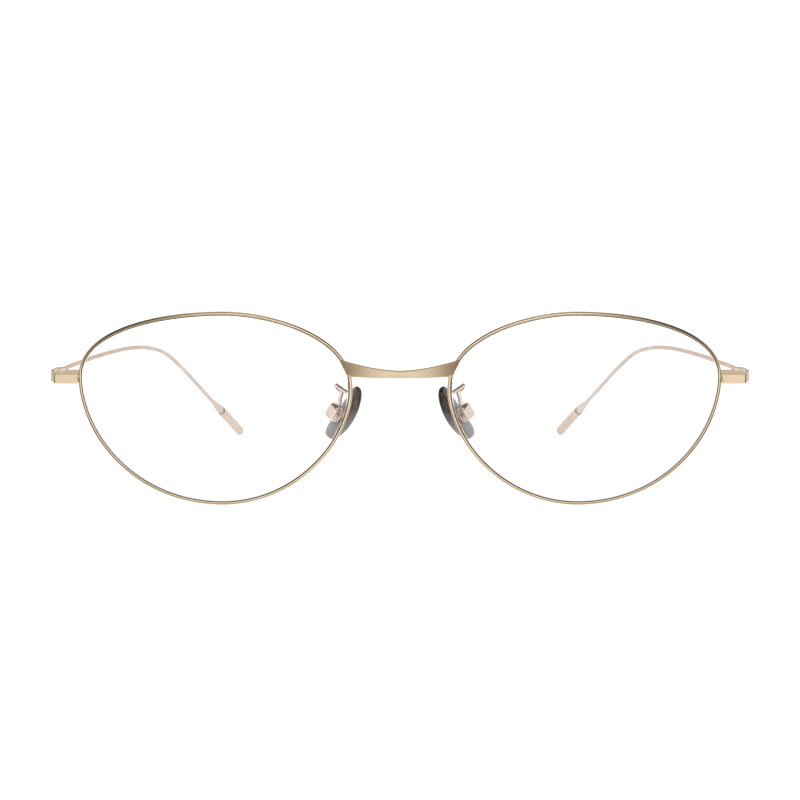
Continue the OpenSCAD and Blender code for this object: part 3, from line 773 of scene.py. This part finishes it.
def lock_block(low, high):
    """A block with a straight front and a round back."""
    half = LOCK_WIDTH / 2
    shape = [(LOCK_X - half, END_INNER_FACE), (LOCK_X + half, END_INNER_FACE)]
    for a in np.linspace(0, math.pi, 25):
        shape.append((LOCK_X + half * math.cos(a), LOCK_Y + half * math.sin(a)))
    return prism(np.array(shape), low, high)


def lock_meshes():
    """The two halves of the lock, above and below the split. The lower one takes the screw head."""
    upper_low = SPLIT_HEIGHT + LOCK_GAP
    upper = lock_block(upper_low, upper_low + LOCK_HEIGHT)
    bore = drum(LOCK_BORE_R, LOCK_LOW - PAST, LOCK_LOW + LOCK_BORE_DEPTH, LOCK_X, LOCK_Y)
    lower = cut(lock_block(LOCK_LOW, SPLIT_HEIGHT - LOCK_GAP), bore)
    return [softened(half, edge) for half, edge in zip((upper, lower), LOCK_EDGES)]


def slotted(radius, thickness, depth):
    """A screw head on the XY plane with a rounded rim and a straight slot across its top."""
    shoulder = HEAD_DOME * 0.3
    profile = [
        (0, 0), (radius, 0), (radius, thickness - HEAD_DOME), (radius - shoulder, thickness - shoulder),
        (radius - HEAD_DOME, thickness), (0, thickness + HEAD_DOME * 0.2),
    ]
    groove = block((-DRIVER_SLOT / 2, -radius - PAST, thickness - depth),
                   (DRIVER_SLOT / 2, radius + PAST, thickness + PAST))
    return cut(turned(profile), groove)


def lock_screw_mesh():
    """The head alone, which looks down out of its bore in the lower half."""
    head = slotted(LOCK_HEAD_R, LOCK_HEAD_H, LOCK_SLOT_DEPTH)
    place = (LOCK_X, LOCK_Y, LOCK_LOW + LOCK_HEAD_H + HEAD_RECESS)
    head.transform(Matrix.Translation(place) @ turn("X", 180))
    return head


def front_leaf_mesh():
    """A leaf behind the end piece with the two outer knuckles, sunk for the screw's head."""
    leaf_out = END_OUT - END_LEG
    mesh = block((leaf_out - FRONT_LEAF_WIDTH, END_INNER_FACE, HINGE_LOW),
                 (leaf_out, FRONT_LEAF_BACK, HINGE_HIGH))
    for low in (HINGE_LOW, UPPER_LOW):
        high = low + OUTER_KNUCKLE
        web = block((HINGE_X - KNUCKLE_R, FRONT_LEAF_BACK - LEAF_OVERLAP, low), (HINGE_X, HINGE_Y, high))
        mesh = merged(mesh, drum(KNUCKLE_R, low, high, HINGE_X, HINGE_Y), web)
    seat = drum(HINGE_HEAD_D / 2 + RUNNING_GAP, HINGE_HIGH - HINGE_HEAD_H, HINGE_HIGH + PAST,
                HINGE_X, HINGE_Y)
    return softened(cut(mesh, seat), FINE_EDGE)


def temple_leaf_mesh():
    """The middle knuckle, its web and the plate that lies along the temple."""
    inner = ARM_X - BLADE_HALF[0]
    middle_high = MIDDLE_LOW + MIDDLE_KNUCKLE
    plate_low = MIDDLE_LOW + (MIDDLE_KNUCKLE - LEAF_PLATE_HEIGHT) / 2
    plate_y = HINGE_Y + LEAF_WEB_BACK - LEAF_OVERLAP / 2
    mesh = merged(
        drum(KNUCKLE_R, MIDDLE_LOW, middle_high, HINGE_X, HINGE_Y),
        block((HINGE_X, HINGE_Y - LEAF_WEB_FRONT, MIDDLE_LOW),
              (inner, HINGE_Y + LEAF_WEB_BACK, middle_high)),
        block((inner - LEAF_PLATE, plate_y, plate_low),
              (inner, plate_y + LEAF_PLATE_LENGTH, plate_low + LEAF_PLATE_HEIGHT)),
    )
    return softened(mesh, FINE_EDGE)


def hinge_screw_mesh():
    """The head alone, sunk in the upper knuckle."""
    head = slotted(HINGE_HEAD_D / 2, HINGE_HEAD_H, HINGE_SLOT_DEPTH)
    head.transform(Matrix.Translation((HINGE_X, HINGE_Y, HINGE_HIGH - HINGE_HEAD_H - HEAD_RECESS)))
    return head


# ---- Temples ---------------------------------------------------------------------------
class Temple:
    """The temple's centre line, and its section at any distance along it."""

    def __init__(self):
        route = [(ARM_X - p[0], HINGE_Y + p[1], p[2]) for p in ARM_POINTS]
        route += [(ARM_X - p[0], HINGE_Y + TEMPLE_STRAIGHT + p[1], p[2]) for p in EAR_POINTS]
        self.path = smooth_path(route, 16)
        self.along = directions(self.path)
        steps = np.linalg.norm(np.diff(self.path, axis=0), axis=1)
        self.run = np.concatenate([[0], np.cumsum(steps)])
        self.total = self.run[-1]
        self.seam = self.total - TIP_LENGTH

    def half(self, s):
        """Half the thickness and half the height at a distance s from the front."""
        blade, wire, tip = (np.array(size) for size in (BLADE_HALF, WIRE_HALF, TIP_HALF))
        if s < BLADE_LENGTH + BLADE_FADE:
            return blade + (wire - blade) * ease((s - BLADE_LENGTH) / BLADE_FADE)
        return wire + (tip - wire) * ease((s - self.seam + TIP_FADE_AHEAD) / TIP_FADE)

    def ring(self, s, shrink=1.0, dip=0.0):
        """The section at s, squarish at the blade and round further back. dip moves its inner
        lower and outer upper sides along, for a curved seam."""
        power = 5 - 3 * ease((s - BLADE_LENGTH) / BLADE_FADE)
        ring = []
        for k in range(TEMPLE_SIDES):
            a = -2 * math.pi * (k + 0.5) / TEMPLE_SIDES
            c, d = math.cos(a), math.sin(a)
            across = np.sign(c) * abs(c)**(2 / power)
            up = np.sign(d) * abs(d)**(2 / power)
            here = s + dip * (c + d)**2 / 2
            centre = np.array([np.interp(here, self.run, self.path[:, i]) for i in range(3)])
            t = unit(np.array([np.interp(here, self.run, self.along[:, i]) for i in range(3)]))
            out = unit(np.cross(t, (0, 0, 1)))
            size = self.half(here) * shrink
            ring.append(centre + out * across * size[0] + np.cross(out, t) * up * size[1])
        return np.array(ring)


TEMPLE = Temple()


def temple_arm_mesh():
    """The blade and the wire, from a slightly rounded front end to the seam."""
    stop = TEMPLE.seam - SEAM_GAP / 2
    first, last = 0.3, stop - SEAM_DIP - 0.6
    rings = [TEMPLE.ring(s, share) for s, share in BLADE_START]
    rings += [TEMPLE.ring(s) for s in TEMPLE.run if first < s < last]
    for share in np.linspace(0.0, 1.0, 5):
        rings.append(TEMPLE.ring(stop - SEAM_RUN * (1 - share), dip=SEAM_DIP * share))
    return loft(rings)


def temple_tip_mesh():
    """The tip behind the seam, with a round end."""
    seam_side = TEMPLE.seam + SEAM_GAP / 2
    start = seam_side + SEAM_RUN
    rings = [TEMPLE.ring(seam_side + SEAM_RUN * share, dip=SEAM_DIP * (1 - share))
             for share in np.linspace(0, 1, 5)]
    steps = 40
    for i in range(1, steps + 1):
        s = start + (TEMPLE.total - start) * math.sin(math.pi / 2 * i / steps)
        left = TEMPLE.total - s
        close = 1.0
        if left <= TIP_ROUND:
            close = math.sqrt(max(0.01, 1 - (1 - left / TIP_ROUND)**2))
        rings.append(TEMPLE.ring(min(s, TEMPLE.total - 1e-4), close))
    return loft(rings)


def temple_seam_shadow_mesh():
    """A near-black core in the gap between the arm and the tip, a painted shadow for the seam."""
    stops = np.linspace(TEMPLE.seam - SEAM_SINK, TEMPLE.seam + SEAM_DIP + SEAM_SINK, 6)
    return loft([TEMPLE.ring(s, SEAM_SHADOW_CORE) for s in stops])


# ---- Nose pads -------------------------------------------------------------------------
def pad_mesh():
    """A drop-shaped pad, curled along its length and a little thicker on the nose side."""
    rings = []
    for a in np.radians(np.linspace(-PAD_END_ANGLE, PAD_END_ANGLE, 41)):
        up = math.sin(a) / math.sin(math.radians(PAD_END_ANGLE))
        full = math.cos(a)**PAD_FULLNESS
        wide = PAD_WIDTH / 2 * full * (1 - PAD_TAPER * up)
        ring = []
        for b in np.linspace(0, 2 * math.pi, 40, endpoint=False):
            thick = PAD_OUTER_HALF if math.cos(b) > 0 else PAD_NOSE_HALF
            ring.append((thick * full * math.cos(b) + PAD_CURL * up * up,
                         wide * math.sin(b), up * PAD_LENGTH / 2))
        rings.append(np.array(ring))
    mesh = loft(rings)
    mesh.transform(PAD_FRAME)
    return mesh


# Turns a shape drawn in X and Y, raised along Z, into one drawn in X and Z, raised along -Y.
UPRIGHT = turn("X", 90)


def pad_box_mesh():
    """A rounded box, open towards the pad, with a raised ring round the screw."""
    middle = (BOX_NEAR + BOX_FAR) / 2
    w, h = (BOX_FAR - BOX_NEAR) / 2, BOX_HEIGHT / 2
    corners = ((middle - w, -h), (middle + w, -h), (middle + w, h), (middle - w, h))
    shape = rounded([(x, y, BOX_CORNER) for x, y in corners], 10)
    mesh = softened(prism(shape, -BOX_WIDTH / 2, BOX_WIDTH / 2, UPRIGHT), BOX_EDGE, steps=4)
    ring = turned(BOX_RING, Matrix.Translation((PAD_AXIS_X, -BOX_WIDTH / 2, 0)) @ UPRIGHT)
    mesh = merged(mesh, ring)
    mesh = cut(mesh, block((BOX_NEAR - PAST, -BOX_SLOT / 2, -BOX_SLOT_HEIGHT / 2),
                           (BOX_FAR - BOX_WALL, BOX_SLOT / 2, BOX_SLOT_HEIGHT / 2)))
    mesh.transform(PAD_FRAME @ Matrix.Translation((0, 0, PAD_AXIS_Z)))
    return mesh


def pad_screw_mesh():
    """A slotted head on one side of the box, and a shank that ends just inside the other."""
    seat = Matrix.Translation((PAD_AXIS_X, -BOX_WIDTH / 2, PAD_AXIS_Z)) @ UPRIGHT
    radius, end = PAD_SCREW_D / 2, 0.02 - BOX_WIDTH
    shank = turned([(0, end), (radius, end), (radius, 0.05), (0, 0.05)])
    mesh = merged(slotted(PAD_HEAD_R, PAD_HEAD_H, PAD_SLOT_DEPTH), shank)
    mesh.transform(PAD_FRAME @ seat)
    return mesh


def pad_arm_mesh():
    """A wire that leaves the back of the rim, loops up and comes down into the box."""
    leaves_at = on_sphere(grown(PAD_ARM_U, PAD_ARM_OUT), RIM_DEPTH / 2 - PAD_ARM_SINK)
    start = through(LENS_FRAME, leaves_at)
    finish = through(PAD_FRAME, (PAD_ARM_END_X, 0, PAD_AXIS_Z + BOX_HEIGHT / 2 - PAD_ARM_SINK))
    path = smooth_path([start, *PAD_ARM_POINTS, finish], 14)
    side = np.array([0.0, 0.0, 1.0])
    rings = []
    for point, t in zip(path, directions(path)):
        side = unit(side - t * (side @ t))
        other = np.cross(t, side)
        rings.append(np.array([point + side * x + other * y for x, y in circle(PAD_ARM_R, 20)]))
    return loft(rings)


# ---- Putting the pieces on their bodies ------------------------------------------------
add_both("rim_wire", rim_mesh(), "front", [LOOK["gold"]], "rim")
add_both("lens_glass", lens_mesh(), "front", [LOOK["lens"], LOOK["ground"]], "lens")

bridge = bridge_mesh()
bridge.transform(TO_PART)
add_piece("bridge_sheet", bridge, "front", [LOOK["satin"], LOOK["edge"]], ["bridge"])

add_both("end_plate", end_piece_mesh(), "front", [LOOK["face"]], "end_piece")
lock_upper, lock_lower = lock_meshes()
add_both("lock_upper", lock_upper, "front", [LOOK["gold"]], "rim_lock_upper")
add_both("lock_lower", lock_lower, "front", [LOOK["gold"]], "rim_lock_lower")

add_both("lock_screw", lock_screw_mesh(), "front", [LOOK["screw"]], "rim_lock_screw")

add_both("hinge_leaf_front", front_leaf_mesh(), "front", [LOOK["champagne"]],
         "hinge_front_leaf")
add_both("hinge_leaf_temple", temple_leaf_mesh(), "temple", [LOOK["champagne"]],
         "hinge_temple_leaf")
add_both("hinge_pin", hinge_screw_mesh(), "front", [LOOK["screw"]], "hinge_screw")

add_both("arm_wire", temple_arm_mesh(), "temple", [LOOK["wire"]], "temple_arm")
add_both("arm_tip", temple_tip_mesh(), "temple", [LOOK["tip"]], "temple_tip")
# A near-black core fills the gap between arm and tip as a painted shadow.
add_both("arm_seam_shadow", temple_seam_shadow_mesh(), "temple", [LOOK["seam"]])

add_both("pad_wire", pad_arm_mesh(), "front", [LOOK["champagne"]], "pad_arm")
add_both("pad_holder", pad_box_mesh(), "front", [LOOK["champagne"]], "pad_box")
add_both("pad_bolt", pad_screw_mesh(), "front", [LOOK["screw"]], "pad_screw")
add_both("pad_shell", pad_mesh(), "pad", [LOOK["smoke"]], "nose_pad")

# The lenses cast no shadow on what is behind them, and the pad cores show their own metal.
for side in SIDES:
    bpy.data.objects[f"lens_glass_{side}"].visible_shadow = False
    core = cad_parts[f"pad_core_{side}"]
    core.data.materials.clear()
    core.data.materials.append(LOOK["champagne"])


# ---- Stage, light and camera -----------------------------------------------------------
# What the metal reflects, by direction: [direction, angle where it ends, angle where it is
# full, strength] for the light overhead and for the pale floor under the frame.
STUDIO_LIGHTS = (
    ((0, 0.07, 1), 31, 12, 0.9),
    ((0, 0.1, -1), 75, 45, 0.9),
)
# A bright window in front, white screens at both sides and a pale wall behind. Each fades
# from nothing to its level between two parts of a direction of length 1: sideways, up or back.
WINDOW_SIDE = (0.55, 0.10)
WINDOW_TOP = (0.42, 0.2)
WINDOW_FRONT = (0.3, -0.3)
WINDOW_LEVEL = 1.14
WALL_SIDE = (-0.15, 0.15)
WALL_TOP = (0.70, 0.50)
WALL_LEVEL = 0.9
SCREEN_SIDE = (0.62, 0.82)
SCREEN_TOP = (0.5, 0.3)
SCREEN_LEVEL = 0.85
# The dim parts of the room are warm, and turn white between two levels of light.
ROOM_LEVEL = 0.045
ROOM_COLOUR = (1.0, 0.84, 0.72, 1)
ROOM_WARMTH_FADES = (0.5, 0.95)
BACKDROP_LEVEL = 1.02
FLOOR_RADIUS = 30.0
FLOOR_GLOW = 0.95
WHITE = (1, 1, 1, 1)
# Metres and degrees
CAMERA_PLACE = (0, -0.544, 0.0622)
CAMERA_PITCH = 4.970
CAMERA_LENS = 110.45


def add_stage():
    """A wide pale floor, seen the same from every side."""
    mesh = bpy.data.meshes.new("floor")
    corners = circle(FLOOR_RADIUS, 96)
    mesh.from_pydata([(x, y, 0.0) for x, y in corners], [], [tuple(range(len(corners)))])
    floor = bpy.data.objects.new("floor", mesh)
    bpy.context.scene.collection.objects.link(floor)
    paint = Paint("pale_floor", Roughness=1.0, Specular_IOR_Level=0.0, Emission_Strength=FLOOR_GLOW)
    paint.shader.inputs["Emission Color"].default_value = WHITE
    paint.colour(paint.noise(2.0, 1.0), (0.92, 0.92, 0.92), (0.94, 0.94, 0.94))
    mesh.materials.append(paint.material)
    # The metal reflects the world's own pale light from below instead of the floor.
    floor.visible_glossy = False


def add_world():
    """What is reflected: light from above and below, a window in front, screens at the sides
    and a wall behind, in a dim room. Seen directly or through a lens it is plain white."""
    world = bpy.data.worlds.new("studio")
    world.use_nodes = True
    nodes, links = world.node_tree.nodes, world.node_tree.links
    place = nodes.new("ShaderNodeTexCoord")

    def fade(source, start, stop, strength=1.0):
        """0 at start, rising smoothly to strength at stop."""
        spread = nodes.new("ShaderNodeMapRange")
        spread.interpolation_type = "SMOOTHSTEP"
        spread.inputs["From Min"].default_value = start
        spread.inputs["From Max"].default_value = stop
        spread.inputs["To Max"].default_value = strength
        links.new(source, spread.inputs["Value"])
        return spread.outputs["Result"]

    def combine(operation, a, b):
        node = nodes.new("ShaderNodeMath")
        node.operation = operation
        links.new(a, node.inputs[0])
        links.new(b, node.inputs[1])
        return node.outputs["Value"]

    def size_of(source):
        node = nodes.new("ShaderNodeMath")
        node.operation = "ABSOLUTE"
        links.new(source, node.inputs[0])
        return node.outputs["Value"]

    axes = nodes.new("ShaderNodeSeparateXYZ")
    links.new(place.outputs["Generated"], axes.inputs["Vector"])
    sideways, back, up = size_of(axes.outputs["X"]), axes.outputs["Y"], axes.outputs["Z"]
    wall = combine("MULTIPLY", fade(back, *WALL_SIDE, WALL_LEVEL), fade(up, *WALL_TOP))
    screens = combine("MULTIPLY", fade(sideways, *SCREEN_SIDE, SCREEN_LEVEL),
                      fade(size_of(up), *SCREEN_TOP))
    window = combine("MULTIPLY", fade(sideways, *WINDOW_SIDE, WINDOW_LEVEL),
                     combine("MULTIPLY", fade(size_of(up), *WINDOW_TOP), fade(back, *WINDOW_FRONT)))
    brightest = combine("MAXIMUM", combine("MAXIMUM", wall, screens), window)
    for direction, edge, core, strength in STUDIO_LIGHTS:
        dot = nodes.new("ShaderNodeVectorMath")
        dot.operation = "DOT_PRODUCT"
        dot.inputs[1].default_value = Vector(direction).normalized()
        links.new(place.outputs["Generated"], dot.inputs[0])
        start, full = (math.cos(math.radians(angle)) for angle in (edge, core))
        light = fade(dot.outputs["Value"], start, full, strength)
        brightest = combine("MAXIMUM", brightest, light)
    room = nodes.new("ShaderNodeMath")
    room.inputs[1].default_value = ROOM_LEVEL
    links.new(brightest, room.inputs[0])

    warmth = nodes.new("ShaderNodeValToRGB")
    stops = zip(warmth.color_ramp.elements, ROOM_WARMTH_FADES, (ROOM_COLOUR, WHITE))
    for stop, level, colour in stops:
        stop.position = level
        stop.color = colour
    links.new(room.outputs["Value"], warmth.inputs["Fac"])
    lit = nodes["Background"]
    links.new(warmth.outputs["Color"], lit.inputs["Color"])
    links.new(room.outputs["Value"], lit.inputs["Strength"])
    backdrop = nodes.new("ShaderNodeBackground")
    backdrop.inputs["Color"].default_value = WHITE
    backdrop.inputs["Strength"].default_value = BACKDROP_LEVEL
    ray = nodes.new("ShaderNodeLightPath")
    seen = nodes.new("ShaderNodeMath")
    seen.operation = "MAXIMUM"
    links.new(ray.outputs["Is Camera Ray"], seen.inputs[0])
    links.new(ray.outputs["Is Transmission Ray"], seen.inputs[1])
    mix = nodes.new("ShaderNodeMixShader")
    links.new(seen.outputs["Value"], mix.inputs["Fac"])
    links.new(lit.outputs["Background"], mix.inputs[1])
    links.new(backdrop.outputs["Background"], mix.inputs[2])
    links.new(mix.outputs["Shader"], nodes["World Output"].inputs["Surface"])
    bpy.context.scene.world = world


def add_camera():
    """A long lens in front, a little above the frame and looking slightly down."""
    camera = bpy.data.cameras.new("camera")
    camera.lens = CAMERA_LENS
    camera.sensor_width = 36.0
    camera.clip_start = 0.01
    holder = bpy.data.objects.new("camera", camera)
    holder.location = CAMERA_PLACE
    holder.rotation_euler = (math.radians(90 - CAMERA_PITCH), 0, 0)
    bpy.context.scene.collection.objects.link(holder)
    bpy.context.scene.camera = holder


add_stage()
add_world()
add_camera()
bpy.context.scene.view_settings.view_transform = "Standard"
